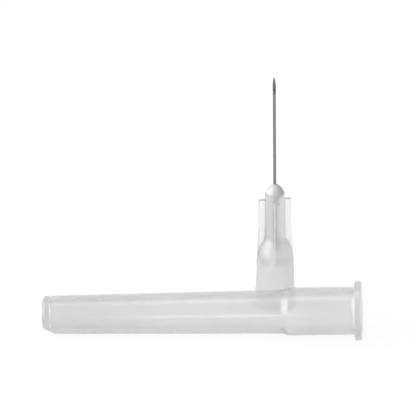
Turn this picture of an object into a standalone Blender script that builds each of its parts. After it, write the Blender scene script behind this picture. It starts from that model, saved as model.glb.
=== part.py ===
"""Hypodermic needle standing on its luer hub, with its sheath taken off and lying in front of it.

Sizes are in metres. +Z is up and +X runs along the lying sheath towards its mouth. The origin is on
the table, under the middle of the footprint of the needle and its sheath.
"""

import math

import bmesh
import bpy
from mathutils import Matrix, Vector

MM = 0.001

# Steel cannula, 25 gauge with a lancet point
CANNULA_DIAMETER = 0.51 * MM
LUMEN_DIAMETER = 0.26 * MM
CANNULA_REACH = 19.3 * MM
CANNULA_END_CHAMFER = 0.04 * MM
BEVEL_ANGLE = math.radians(9.5)
LANCET_ANGLE = math.radians(14.0)
LANCET_ROLL = math.radians(35.0)

# Adhesive that fixes the cannula in the hub's nose
BEAD_DIAMETER = 3.18 * MM
BEAD_HEIGHT = 1.56 * MM
BEAD_LIP = 0.06 * MM
BEAD_FULLNESS = 1.5
WELL_DIAMETER = 1.9 * MM
WELL_FLOOR_DIAMETER = 1.0 * MM
WELL_DEPTH = 1.3 * MM

# Hub, measured up from its mouth
COLLAR_HEIGHT = 2.7 * MM
COLLAR_STEP = 0.18 * MM
COLLAR_FILLET = 0.6 * MM
BARREL_LENGTH = 7.5 * MM
BARREL_MOUTH_DIAMETER = 6.74 * MM
BARREL_TOP_DIAMETER = 6.32 * MM
SHOULDER_HEIGHT = 4.5 * MM
SHOULDER_BULGE = 0.34 * MM
CORE_LENGTH = 8.46 * MM
CORE_FOOT_DIAMETER = 3.6 * MM
CORE_NOSE_DIAMETER = 3.34 * MM
HUB_EDGE = 0.12 * MM

# Fins round the hub's core
FIN_COUNT = 4
FIN_TOP_DIAMETER = 5.52 * MM
FIN_DROP = 1.23 * MM
FIN_FLARE_TOP = 13.8 * MM
FIN_FLARE_BULGE = 0.05 * MM
FIN_FOOT_STEP = 0.04 * MM
FIN_FOOT_THICKNESS = 1.0 * MM
FIN_TOP_THICKNESS = 0.84 * MM
FIN_EDGE = 0.1 * MM

# Two locking lugs at the hub's mouth
LUG_SPAN = 7.8 * MM
LUG_WIDTH = 2.7 * MM
LUG_HEIGHT = 2.5 * MM
LUG_SLOPE = 0.5 * MM

# Female luer socket inside the hub
LUER_MOUTH_DIAMETER = 4.27 * MM
LUER_TAPER = 0.06
LUER_LEAD_IN = 0.2 * MM
SOCKET_DEPTH = 7.6 * MM
FUNNEL_FOOT_DIAMETER = 1.6 * MM
FUNNEL_HEIGHT = 2.2 * MM
FUNNEL_TOP_DIAMETER = 0.8 * MM
CANNULA_INSET = 0.3 * MM

# Sheath, measured from its mouth to its closed tip
SHEATH_LENGTH = 53.4 * MM
SHEATH_SKIRT_LENGTH = 12.2 * MM
SHEATH_SHOULDER_LENGTH = 1.1 * MM
SHEATH_DRAFT = math.radians(0.68)
SKIRT_DRAFT = math.radians(0.1)
SKIRT_WALL = 0.55 * MM
NECK_WALL = 0.7 * MM
END_WALL = 1.2 * MM
FLANGE_REACH = 0.95 * MM
FLANGE_THICKNESS = 1.15 * MM
FLANGE_EDGE = 0.25 * MM
FLANGE_FILLET = 0.45 * MM
TIP_EDGE = 0.5 * MM
CAVITY_END_ROUND = 0.35 * MM
TIP_FACET_LENGTH = 2.1 * MM
TIP_FACET_DEPTH = 1.05 * MM
TIP_FACET_ROLL = math.radians(24.0)
MOUTH_LEAD_IN = 0.3 * MM
SHOULDER_ROUND = 0.6 * MM

# Fits
SEAT_GAP = 0.02 * MM
BARREL_SLIP = 0.11 * MM
FIN_SLIP = 0.23 * MM

# How the two lie on the table
SHEATH_SPACING = 13.3 * MM
NEEDLE_FROM_MOUTH = 15.1 * MM
NEEDLE_TURN = math.radians(12.0)

# Faceting
HUB_STEPS = 48
SHEATH_STEPS = 48
BEAD_STEPS = 32
CANNULA_STEPS = 24
ARC_STEPS = 4
SHARP_ANGLE = math.radians(35.0)
POLE_MERGE = 1e-7
FILLET_SHARE = 0.48

SHOULDER_Z = BARREL_LENGTH + SHOULDER_HEIGHT
NOSE_Z = SHOULDER_Z + CORE_LENGTH
FIN_TOP_Z = NOSE_Z - FIN_DROP
BEAD_FOOT_Z = NOSE_Z + SEAT_GAP
CANNULA_TIP_Z = BEAD_FOOT_Z + BEAD_HEIGHT + CANNULA_REACH
FUNNEL_TOP_Z = SOCKET_DEPTH + FUNNEL_HEIGHT
CANNULA_FOOT_Z = FUNNEL_TOP_Z + CANNULA_INSET
COLLAR_RADIUS = BARREL_MOUTH_DIAMETER / 2 + COLLAR_STEP
CANNULA_BORE_RADIUS = CANNULA_DIAMETER / 2 + SEAT_GAP


def collection(name, hidden=False):
    """Adds a collection to the scene, out of renders if hidden."""
    made = bpy.data.collections.new(name)
    made.hide_render = hidden
    bpy.context.scene.collection.children.link(made)
    return made


def material(name, colour, roughness, metallic=0.0, transmission=0.0):
    """Makes a plain Principled BSDF material."""
    made = bpy.data.materials.new(name)
    made.use_nodes = True
    shader = made.node_tree.nodes["Principled BSDF"]
    shader.inputs["Base Color"].default_value = (*colour, 1.0)
    shader.inputs["Roughness"].default_value = roughness
    shader.inputs["Metallic"].default_value = metallic
    shader.inputs["Transmission Weight"].default_value = transmission
    made.diffuse_color = (*colour, 1.0)
    return made


def place(name, mesh, home, parent=None, finish=None):
    """Links a mesh as an object, as a part with a finish or as a wire guide without one."""
    made = bpy.data.objects.new(name, mesh)
    home.objects.link(made)
    made.parent = parent
    if finish:
        mesh.materials.append(finish)
    else:
        made.hide_render = True
        made.display_type = "WIRE"
    return made


def boolean(target, tool, operation):
    """Joins, cuts or intersects the target with a tool that stays in the cutters' collection."""
    step = target.modifiers.new(f"{operation} {tool.name}", "BOOLEAN")
    step.operation = operation
    step.solver = "EXACT"
    step.object = tool


def filleted(corners):
    """Turns corners (radius, height, fillet) of a profile into points, with an arc at each fillet."""
    points = []
    for i, (r, z, fillet) in enumerate(corners):
        here = Vector((r, z))
        if not fillet:
            points.append(here)
            continue
        before = Vector(corners[i - 1][:2]) - here
        after = Vector(corners[i + 1][:2]) - here
        opening = before.angle(after)
        room = FILLET_SHARE * min(before.length, after.length)
        reach = min(fillet / math.tan(opening / 2), room)
        radius = reach * math.tan(opening / 2)
        before.normalize()
        after.normalize()
        middle = here + (before + after).normalized() * radius / math.sin(opening / 2)
        start = here + before * reach - middle
        swing = (here + after * reach - middle).angle_signed(start)
        for k in range(ARC_STEPS + 1):
            points.append(middle + Matrix.Rotation(swing * k / ARC_STEPS, 2) @ start)
    return [(p.x, p.y) for p in points]


def bowed(start, end, bulge):
    """Points on a circular arc from start to end that stands out from the chord by bulge."""
    start, end = Vector(start), Vector(end)
    chord = end - start
    radius = (chord.length_squared / 4 + bulge**2) / (2 * bulge)
    across = Vector((-chord.y, chord.x)).normalized()
    middle = (start + end) / 2 + across * (bulge - radius)
    half = math.asin(chord.length / 2 / radius)
    top = across * radius
    turns = [half * (1 - k / ARC_STEPS) for k in range(2 * ARC_STEPS + 1)]
    return [tuple(middle + Matrix.Rotation(turn, 2) @ top) for turn in turns]


def dome(radius, height, fullness, hole):
    """Points on a superellipse dome, from the edge of the hole at its top down to its foot."""
    start = math.asin((hole / radius) ** (fullness / 2))
    points = []
    for k in range(2 * ARC_STEPS + 1):
        turn = start + (math.pi / 2 - start) * k / (2 * ARC_STEPS)
        points.append((radius * math.sin(turn) ** (2 / fullness), height * math.cos(turn) ** (2 / fullness)))
    return points


def turned(name, profile, steps, home, parent=None, finish=None, closed=False):
    """Turns a profile of (radius, height) points round the Z axis; its outer side runs from top to bottom."""
    mesh = bpy.data.meshes.new(name)
    edges = [(i, i + 1) for i in range(len(profile) - 1)]
    if closed:
        edges.append((len(profile) - 1, 0))
    mesh.from_pydata([(r, 0.0, z) for r, z in profile], edges, [])
    made = place(name, mesh, home, parent, finish)
    screw = made.modifiers.new("turn", "SCREW")
    screw.axis = "Z"
    screw.steps = steps
    screw.render_steps = steps
    screw.use_merge_vertices = True
    screw.merge_threshold = POLE_MERGE
    return made


def slab(name, outline, thickness, home, parent=None):
    """A flat outline in the XZ plane with the given thickness along Y, as a mesh for a Boolean."""
    curve = bpy.data.curves.new(name, "CURVE")
    curve.dimensions = "2D"
    curve.fill_mode = "BOTH"
    curve.extrude = thickness / 2
    spline = curve.splines.new("POLY")
    spline.points.add(len(outline) - 1)
    for point, (x, z) in zip(spline.points, outline):
        point.co = (x, z, 0.0, 1.0)
    spline.use_cyclic_u = True
    drawn = bpy.data.objects.new(f"{name} outline", curve)
    home.objects.link(drawn)
    mesh = bpy.data.meshes.new_from_object(drawn.evaluated_get(bpy.context.evaluated_depsgraph_get()))
    bpy.data.objects.remove(drawn)
    mesh.name = name
    work = bmesh.new()
    work.from_mesh(mesh)
    bmesh.ops.remove_doubles(work, verts=work.verts, dist=POLE_MERGE)
    bmesh.ops.rotate(work, verts=work.verts, matrix=Matrix.Rotation(math.pi / 2, 3, "X"))
    bmesh.ops.recalc_face_normals(work, faces=work.faces)
    work.to_mesh(mesh)
    work.free()
    return place(name, mesh, home, parent)


def block(name, low, high, home, parent=None):
    """A box between two corners, as a guide for a Boolean."""
    low, high = Vector(low), Vector(high)
    mesh = bpy.data.meshes.new(name)
    work = bmesh.new()
    bmesh.ops.create_cube(work, size=1.0)
    bmesh.ops.scale(work, verts=work.verts, vec=high - low)
    bmesh.ops.translate(work, verts=work.verts, vec=(low + high) / 2)
    work.to_mesh(mesh)
    work.free()
    return place(name, mesh, home, parent)


def hub_body(home, parent, finish):
    """Mouth collar, barrel, bulging shoulder and slim core, turned in one."""
    core_foot = (CORE_FOOT_DIAMETER / 2, SHOULDER_Z)
    barrel_top = (BARREL_TOP_DIAMETER / 2, BARREL_LENGTH)
    nose = filleted([
        (0.0, NOSE_Z, 0.0),
        (CORE_NOSE_DIAMETER / 2, NOSE_Z, HUB_EDGE),
        (*core_foot, 0.0),
    ])
    barrel_drop = (BARREL_MOUTH_DIAMETER - BARREL_TOP_DIAMETER) / 2 / BARREL_LENGTH
    collar_foot = (BARREL_MOUTH_DIAMETER / 2 - barrel_drop * COLLAR_HEIGHT, COLLAR_HEIGHT)
    mouth = filleted([
        (*barrel_top, 0.0),
        (*collar_foot, COLLAR_FILLET),
        (COLLAR_RADIUS, COLLAR_HEIGHT - COLLAR_STEP, HUB_EDGE),
        (COLLAR_RADIUS, 0.0, HUB_EDGE),
        (0.0, 0.0, 0.0),
    ])
    shoulder = bowed(core_foot, barrel_top, SHOULDER_BULGE)
    return turned("hub", nose[:-1] + shoulder + mouth[1:], HUB_STEPS, home, parent, finish)


def add_fins(hub, cutters, parent):
    """Fins that flare into the barrel and run straight to just under the nose, thinner towards their tops."""
    foot_z = BARREL_LENGTH - FIN_FOOT_THICKNESS / 2
    foot_radius = BARREL_TOP_DIAMETER / 2 - FIN_FOOT_STEP
    top_radius = FIN_TOP_DIAMETER / 2
    flare = bowed((top_radius, FIN_FLARE_TOP), (foot_radius, BARREL_LENGTH), FIN_FLARE_BULGE)
    outline = [(0.0, foot_z), (foot_radius - FIN_FOOT_STEP, foot_z), *reversed(flare)]
    outline += [(top_radius, FIN_TOP_Z), (0.0, FIN_TOP_Z)]
    for i in range(FIN_COUNT):
        fin = slab(f"fin {i + 1}", outline, FIN_FOOT_THICKNESS, cutters, parent)
        for corner in fin.data.vertices:
            share = (corner.co.z - foot_z) / (FIN_TOP_Z - foot_z)
            corner.co.y *= 1 + (FIN_TOP_THICKNESS / FIN_FOOT_THICKNESS - 1) * share
        fin.rotation_euler.z = 2 * math.pi * i / FIN_COUNT
        edge = fin.modifiers.new("edge", "BEVEL")
        edge.width = FIN_EDGE
        edge.segments = 2
        boolean(hub, fin, "UNION")


def add_lugs(hub, cutters, parent):
    """Two lugs at the mouth: what a slot as wide as a lug keeps of a turned ring."""
    ring = turned("lug ring", filleted([
        (0.0, LUG_HEIGHT, 0.0),
        (COLLAR_RADIUS - HUB_EDGE, LUG_HEIGHT, 0.0),
        (LUG_SPAN / 2, LUG_HEIGHT - LUG_SLOPE, HUB_EDGE),
        (LUG_SPAN / 2, HUB_EDGE, HUB_EDGE),
        (0.0, HUB_EDGE, 0.0),
    ]), HUB_STEPS, cutters, parent)
    low = (-LUG_WIDTH / 2, -LUG_SPAN, -LUG_HEIGHT)
    high = (LUG_WIDTH / 2, LUG_SPAN, 2 * LUG_HEIGHT)
    slot = block("lug slot", low, high, cutters, parent)
    boolean(ring, slot, "INTERSECT")
    boolean(hub, ring, "UNION")


def cut_hub_bore(hub, cutters, parent):
    """Luer socket, funnel, cannula bore and glue well, as one turned cutter that runs right through."""
    beyond = COLLAR_HEIGHT
    socket_top = (LUER_MOUTH_DIAMETER - LUER_TAPER * SOCKET_DEPTH) / 2
    well_slope = (WELL_DIAMETER - WELL_FLOOR_DIAMETER) / 2 / WELL_DEPTH
    cutter = turned("hub bore", [
        (0.0, NOSE_Z + beyond),
        (WELL_DIAMETER / 2 + well_slope * beyond, NOSE_Z + beyond),
        (WELL_FLOOR_DIAMETER / 2, NOSE_Z - WELL_DEPTH),
        (CANNULA_BORE_RADIUS, NOSE_Z - WELL_DEPTH),
        (CANNULA_BORE_RADIUS, FUNNEL_TOP_Z),
        (FUNNEL_TOP_DIAMETER / 2, FUNNEL_TOP_Z),
        (FUNNEL_FOOT_DIAMETER / 2, SOCKET_DEPTH),
        (socket_top, SOCKET_DEPTH),
        (LUER_MOUTH_DIAMETER / 2 - LUER_TAPER / 2 * LUER_LEAD_IN, LUER_LEAD_IN),
        (LUER_MOUTH_DIAMETER / 2 + LUER_LEAD_IN + beyond, -beyond),
        (0.0, -beyond),
    ], HUB_STEPS, cutters, parent)
    boolean(hub, cutter, "DIFFERENCE")


def make_bead(home, parent, finish):
    """Adhesive: a dome on the nose, with a root that fills the glue well round the cannula."""
    hole = CANNULA_DIAMETER / 2 + SEAT_GAP
    top = dome(BEAD_DIAMETER / 2, BEAD_HEIGHT, BEAD_FULLNESS, hole + BEAD_LIP)
    lift = BEAD_HEIGHT - top[0][1]
    profile = [(r, BEAD_FOOT_Z + z + lift * z / BEAD_HEIGHT) for r, z in top]
    profile += [
        (WELL_DIAMETER / 2 - SEAT_GAP, BEAD_FOOT_Z),
        (WELL_FLOOR_DIAMETER / 2 - SEAT_GAP, NOSE_Z - WELL_DEPTH + SEAT_GAP),
        (hole, NOSE_Z - WELL_DEPTH + SEAT_GAP),
        (hole, profile[0][1]),
    ]
    return turned("adhesive_bead", profile, BEAD_STEPS, home, parent, finish, closed=True)


def make_cannula(home, cutters, parent, finish):
    """Steel tube through the hub's bore, ground to a lancet point on the side away from +Y."""
    outer, inner = CANNULA_DIAMETER / 2, LUMEN_DIAMETER / 2
    beyond = CANNULA_TIP_Z + outer
    tube = turned("cannula", [
        (outer, beyond),
        (outer, CANNULA_FOOT_Z + CANNULA_END_CHAMFER),
        (outer - CANNULA_END_CHAMFER, CANNULA_FOOT_Z),
        (inner, CANNULA_FOOT_Z),
        (inner, beyond),
    ], CANNULA_STEPS, home, parent, finish, closed=True)
    grind = 2 * CANNULA_DIAMETER / math.tan(BEVEL_ANGLE)
    for name, angle, roll in (
        ("bevel", BEVEL_ANGLE, 0.0),
        ("lancet left", LANCET_ANGLE, LANCET_ROLL),
        ("lancet right", LANCET_ANGLE, -LANCET_ROLL),
    ):
        stone = block(name, (-grind, -grind, 0.0), (grind, grind, grind), cutters, parent)
        stone.location = (0.0, outer, CANNULA_TIP_Z)
        stone.rotation_euler = (math.pi / 2 - angle, 0.0, roll)
        boolean(tube, stone, "DIFFERENCE")
    return tube


def sheath_radii():
    """Inner and outer radii of the sheath at its mouth, skirt, neck and tip, from the hub that it covers."""
    skirt_top = SHEATH_SKIRT_LENGTH
    neck = skirt_top + SHEATH_SHOULDER_LENGTH
    mouth_bore = COLLAR_RADIUS - COLLAR_STEP + BARREL_SLIP
    skirt_bore = mouth_bore - math.tan(SKIRT_DRAFT) * skirt_top
    neck_bore = FIN_TOP_DIAMETER / 2 + FIN_SLIP
    tip_bore = neck_bore - math.tan(SHEATH_DRAFT) * (SHEATH_LENGTH - neck)
    return {"mouth": mouth_bore, "skirt": skirt_bore, "neck": neck_bore, "tip": tip_bore}


def make_sheath(home, cutters, finish):
    """Sheath on its rest: it lies on its flange's rim and on the edge of the facet at its tip."""
    bore = sheath_radii()
    neck_z = SHEATH_SKIRT_LENGTH + SHEATH_SHOULDER_LENGTH
    flange_radius = bore["mouth"] + SKIRT_WALL + FLANGE_REACH
    tip_radius = bore["tip"] + NECK_WALL
    outside = filleted([
        (0.0, SHEATH_LENGTH, 0.0),
        (tip_radius, SHEATH_LENGTH, TIP_EDGE),
        (bore["neck"] + NECK_WALL, neck_z, SHOULDER_ROUND),
        (bore["skirt"] + SKIRT_WALL, SHEATH_SKIRT_LENGTH, SHOULDER_ROUND),
        (bore["mouth"] + SKIRT_WALL, FLANGE_THICKNESS, FLANGE_FILLET),
        (flange_radius, FLANGE_THICKNESS, FLANGE_EDGE),
        (flange_radius, 0.0, FLANGE_EDGE),
        (bore["mouth"] + MOUTH_LEAD_IN, 0.0, 0.0),
    ])
    inside = filleted([
        (bore["mouth"], MOUTH_LEAD_IN, 0.0),
        (bore["skirt"], SHEATH_SKIRT_LENGTH, SHOULDER_ROUND),
        (bore["neck"], neck_z, SHOULDER_ROUND),
        (bore["tip"], SHEATH_LENGTH - END_WALL, CAVITY_END_ROUND),
        (0.0, SHEATH_LENGTH - END_WALL, 0.0),
    ])
    facet_radius = tip_radius + math.tan(SHEATH_DRAFT) * TIP_FACET_LENGTH
    rolled_off = (1 - math.cos(TIP_FACET_ROLL)) * facet_radius * TIP_FACET_LENGTH / TIP_FACET_DEPTH
    contact_run = SHEATH_LENGTH - TIP_FACET_LENGTH + rolled_off - FLANGE_THICKNESS + FLANGE_EDGE
    tilt = math.atan((flange_radius - facet_radius) / contact_run)
    rest = bpy.data.objects.new("sheath rest", None)
    home.objects.link(rest)
    rest.rotation_euler.y = -math.pi / 2 - tilt
    sheath = turned("sheath", outside + inside, SHEATH_STEPS, home, rest, finish)
    low = (-SHEATH_LENGTH, -SHEATH_LENGTH, 0.0)
    high = (0.0, SHEATH_LENGTH, SHEATH_LENGTH)
    facet = block("tip facet", low, high, cutters, rest)
    facet_x = -facet_radius * math.cos(TIP_FACET_ROLL)
    facet_y = -facet_radius * math.sin(TIP_FACET_ROLL)
    facet.location = (facet_x, facet_y, SHEATH_LENGTH - TIP_FACET_LENGTH)
    facet.rotation_euler.y = math.pi / 2 - math.atan2(TIP_FACET_LENGTH, TIP_FACET_DEPTH)
    facet.rotation_euler.z = TIP_FACET_ROLL
    boolean(sheath, facet, "DIFFERENCE")
    return rest, sheath


def corners_of(objects):
    """Lowest and highest corner of the objects' evaluated meshes in world space."""
    bpy.context.view_layer.update()
    graph = bpy.context.evaluated_depsgraph_get()
    points = []
    for made in objects:
        shape = made.evaluated_get(graph)
        points += [shape.matrix_world @ corner.co for corner in shape.data.vertices]
    low = Vector(min(p[i] for p in points) for i in range(3))
    high = Vector(max(p[i] for p in points) for i in range(3))
    return low, high


def smooth(made):
    """Shades round faces smooth and leaves the real edges sharp."""
    made.data.shade_smooth()
    made.data.set_sharp_from_angle(angle=SHARP_ANGLE)


def main():
    for old in list(bpy.data.objects):
        bpy.data.objects.remove(old)
    parts = collection("hypodermic needle")
    cutters = collection("cutters", hidden=True)
    clear_plastic = material("clear polypropylene", (0.86, 0.87, 0.88), 0.25, transmission=0.6)
    milky_plastic = material("milky polypropylene", (0.84, 0.84, 0.83), 0.35, transmission=0.5)
    steel = material("stainless steel", (0.55, 0.55, 0.56), 0.28, metallic=1.0)
    adhesive = material("epoxy adhesive", (0.93, 0.93, 0.91), 0.12, transmission=0.2)

    ground = bpy.data.objects.new("ground", None)
    stand = bpy.data.objects.new("needle stand", None)
    for empty in (ground, stand):
        parts.objects.link(empty)
    stand.parent = ground
    stand.rotation_euler.z = NEEDLE_TURN

    hub = hub_body(parts, stand, clear_plastic)
    add_fins(hub, cutters, stand)
    add_lugs(hub, cutters, stand)
    cut_hub_bore(hub, cutters, stand)
    bead = make_bead(parts, stand, adhesive)
    cannula = make_cannula(parts, cutters, stand, steel)
    rest, sheath = make_sheath(parts, cutters, milky_plastic)
    rest.parent = ground

    low, _ = corners_of([sheath])
    rest.location = (NEEDLE_FROM_MOUTH, -SHEATH_SPACING, -low.z)
    low, high = corners_of([hub, bead, cannula, sheath])
    ground.location = (-(low.x + high.x) / 2, -(low.y + high.y) / 2, -low.z)
    for made in (hub, bead, cannula, sheath):
        smooth(made)


main()
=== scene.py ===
"""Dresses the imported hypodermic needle: steel cannula, adhesive drop, finned clear hub and milky sheath.

Sizes are in metres. The needle stands on its hub's mouth, and its sheath lies in front of it. Every piece is
drawn ring by ring as a smooth skin in place of its faceted solid, and takes its place from the frame.
"""

from __future__ import annotations

import logging
import math
from collections.abc import Callable
from dataclasses import dataclass, replace
from enum import Enum
from typing import Any

import bpy
import numpy as np
from mathutils import Matrix, Vector


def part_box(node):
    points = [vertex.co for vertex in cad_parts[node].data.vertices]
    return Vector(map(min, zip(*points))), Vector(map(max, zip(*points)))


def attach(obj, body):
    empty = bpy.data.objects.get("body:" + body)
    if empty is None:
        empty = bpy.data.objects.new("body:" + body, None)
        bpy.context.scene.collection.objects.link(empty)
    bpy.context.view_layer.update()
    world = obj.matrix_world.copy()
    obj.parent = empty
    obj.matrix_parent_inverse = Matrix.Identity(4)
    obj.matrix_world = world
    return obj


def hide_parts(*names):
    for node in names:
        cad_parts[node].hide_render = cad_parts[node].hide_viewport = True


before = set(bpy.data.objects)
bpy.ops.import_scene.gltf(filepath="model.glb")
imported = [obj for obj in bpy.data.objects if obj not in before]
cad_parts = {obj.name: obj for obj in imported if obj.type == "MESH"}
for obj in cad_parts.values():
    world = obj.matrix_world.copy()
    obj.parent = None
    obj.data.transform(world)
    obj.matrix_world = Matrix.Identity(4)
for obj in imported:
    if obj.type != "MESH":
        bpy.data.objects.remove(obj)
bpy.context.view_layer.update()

log = logging.getLogger("needle")

MM = 0.001
BODY = "root"
ARC_STEPS = 6
BOW_STEPS = 24
FILLET_SHARE = 0.48
SHARP_ANGLE = math.radians(32.0)
NOISE_MIDDLE = 0.5

Point = tuple[float, float]
Triple = tuple[float, float, float]
Colour = Triple
Greys = tuple[tuple[float, float], ...]

WHITE: Colour = (1.0, 1.0, 1.0)


class Ray(Enum):
    """Kinds of ray that the surroundings tell apart."""

    CAMERA = "Is Camera Ray"
    GLOSSY = "Is Glossy Ray"
    TRANSMISSION = "Is Transmission Ray"


class Signal:
    """A shader socket that can stand in a Python expression; each operation adds its Math node."""

    def __init__(self, graph: Graph, socket: bpy.types.NodeSocket) -> None:
        """Keeps the socket with the graph that its nodes go into."""
        self.graph = graph
        self.socket = socket

    def maths(self, operation: str, first: Signal | float, second: Signal | float) -> Signal:
        """Adds one Math node.

        Args:
            operation: Name of the node's operation.
            first: Left operand.
            second: Right operand.

        Returns:
            The node's value.
        """
        return self.graph.node("ShaderNodeMath", {"operation": operation}, {0: first, 1: second}, "Value")

    def __add__(self, other: Signal | float) -> Signal:
        """Sum with a value or a number."""
        return self.maths("ADD", self, other)

    def __sub__(self, other: Signal | float) -> Signal:
        """Difference from a value or a number."""
        return self.maths("SUBTRACT", self, other)

    def __rsub__(self, other: float) -> Signal:
        """Difference of a number from this value."""
        return self.maths("SUBTRACT", other, self)

    def __mul__(self, other: Signal | float) -> Signal:
        """Product with a value or a number."""
        return self.maths("MULTIPLY", self, other)

    __radd__ = __add__
    __rmul__ = __mul__

    def at_least(self, floor: Signal | float) -> Signal:
        """The larger of this value and another."""
        return self.maths("MAXIMUM", self, floor)


class Graph:
    """The nodes of one material, or of the world."""

    MIXED_COLOURS = (6, 7)
    MIXED_RESULT = 2

    def __init__(self, owner: bpy.types.Material | bpy.types.World) -> None:
        """Empties the owner's node tree.

        Args:
            owner: Material or world that the nodes belong to.
        """
        owner.use_nodes = True
        self.tree = owner.node_tree
        self.tree.nodes.clear()

    def node(
        self, kind: str, settings: dict[str, Any], sockets: dict[str | int, Any], output: str | int
    ) -> Signal:
        """Adds a node of any type.

        Args:
            kind: The node's type.
            settings: Its own properties, set first; "stops" holds a ramp's (place, colour) pairs.
            sockets: Values or signals of its inputs, by name or number.
            output: Name or number of the output that is wanted.

        Returns:
            The wanted output.
        """
        made = self.tree.nodes.new(kind)
        for name, value in settings.items():
            if name == "stops":
                self.set_stops(made.color_ramp, value)
            else:
                setattr(made, name, value)
        for name, value in sockets.items():
            if isinstance(value, Signal):
                self.tree.links.new(value.socket, made.inputs[name])
            else:
                made.inputs[name].default_value = value
        return Signal(self, made.outputs[output])

    @staticmethod
    def set_stops(ramp: bpy.types.ColorRamp, stops: list[tuple[float, Colour]]) -> None:
        """Writes a ramp's stops.

        Args:
            ramp: The ramp, with its two stops at first.
            stops: Pairs of place and colour, in order, at least two.
        """
        while len(ramp.elements) < len(stops):
            ramp.elements.new(1.0)
        for element, (place, colour) in zip(ramp.elements, stops):
            element.position = place
            element.color = (*colour, 1.0)

    def finish(self, target: str, **shaders: Signal) -> None:
        """Links shaders to the output.

        Args:
            target: Type of the output node.
            **shaders: The surface and, if there is one, the volume.
        """
        made = self.tree.nodes.new(target)
        for name, shader in shaders.items():
            self.tree.links.new(shader.socket, made.inputs[name.capitalize()])

    def spot(self, stretch: Triple) -> Signal:
        """Place on the piece, in metres times a stretch along each axis.

        Args:
            stretch: Factors along X, Y and Z.

        Returns:
            The stretched coordinates.
        """
        return self.times(self.node("ShaderNodeTexCoord", {}, {}, "Object"), stretch)

    def noise(self, stretch: Triple, detail: float) -> Signal:
        """Noise between 0 and 1.

        Args:
            stretch: Waves per metre along each axis.
            detail: Octaves of finer noise on top.

        Returns:
            The noise value.
        """
        sockets = {"Vector": self.spot(stretch), "Scale": 1.0, "Detail": detail}
        return self.node("ShaderNodeTexNoise", {}, sockets, "Fac")

    def ramp(self, value: Signal, greys: Greys) -> Signal:
        """Grey that changes with a value.

        Args:
            value: The value.
            greys: Pairs of value and grey, in order.

        Returns:
            The grey, level outside the first and last pair.
        """
        first, last = greys[0][0], greys[-1][0]
        stops = [((place - first) / (last - first), (grey, grey, grey)) for place, grey in greys]
        share = (value - first) * (1 / (last - first))
        return self.node("ShaderNodeValToRGB", {"stops": stops}, {0: share}, "Color")

    def times(self, first: Signal, second: Signal | Triple) -> Signal:
        """Product of two colours or vectors, part by part."""
        return self.node("ShaderNodeVectorMath", {"operation": "MULTIPLY"}, {0: first, 1: second}, "Vector")

    def tint(self, share: Signal, low: Colour | Signal, high: Colour | Signal) -> Signal:
        """Colour between two colours.

        Args:
            share: 0 for the first colour, 1 for the second.
            low: First colour.
            high: Second colour.

        Returns:
            The mixed colour.
        """
        ends = (end if isinstance(end, Signal) else (*end, 1.0) for end in (low, high))
        sockets = {"Factor": share, **dict(zip(self.MIXED_COLOURS, ends))}
        return self.node("ShaderNodeMix", {"data_type": "RGBA"}, sockets, self.MIXED_RESULT)

    def bump(self, height: Signal, strength: float, depth: float) -> Signal:
        """Normal of a surface with a fine relief.

        Args:
            height: Height of the relief, between 0 and 1.
            strength: How much of the relief shows.
            depth: Depth that a height of 1 stands for.

        Returns:
            The normal.
        """
        sockets = {"Strength": strength, "Distance": depth, "Height": height}
        return self.node("ShaderNodeBump", {}, sockets, "Normal")


@dataclass(frozen=True)
class Finish:
    """What a piece is dressed in; each kind says how its surface answers light.

    Attributes:
        name: Material name.
        colour: Colour of most of the surface.
        roughness: Mean roughness.
    """

    name: str
    colour: Colour
    roughness: float

    def surface(self, graph: Graph) -> dict[str, Any]:
        """Values and signals of the surface shader's sockets, which each kind of finish gives."""
        raise NotImplementedError

    def depth(self, graph: Graph) -> dict[str, Signal]:
        """What lies under the surface: nothing, unless a kind of finish lets light in."""
        return {}

    def material(self) -> bpy.types.Material:
        """Builds the material."""
        made = bpy.data.materials.new(self.name)
        graph = Graph(made)
        shader = graph.node("ShaderNodeBsdfPrincipled", {}, self.surface(graph), "BSDF")
        graph.finish("ShaderNodeOutputMaterial", surface=shader, **self.depth(graph))
        return made


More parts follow.
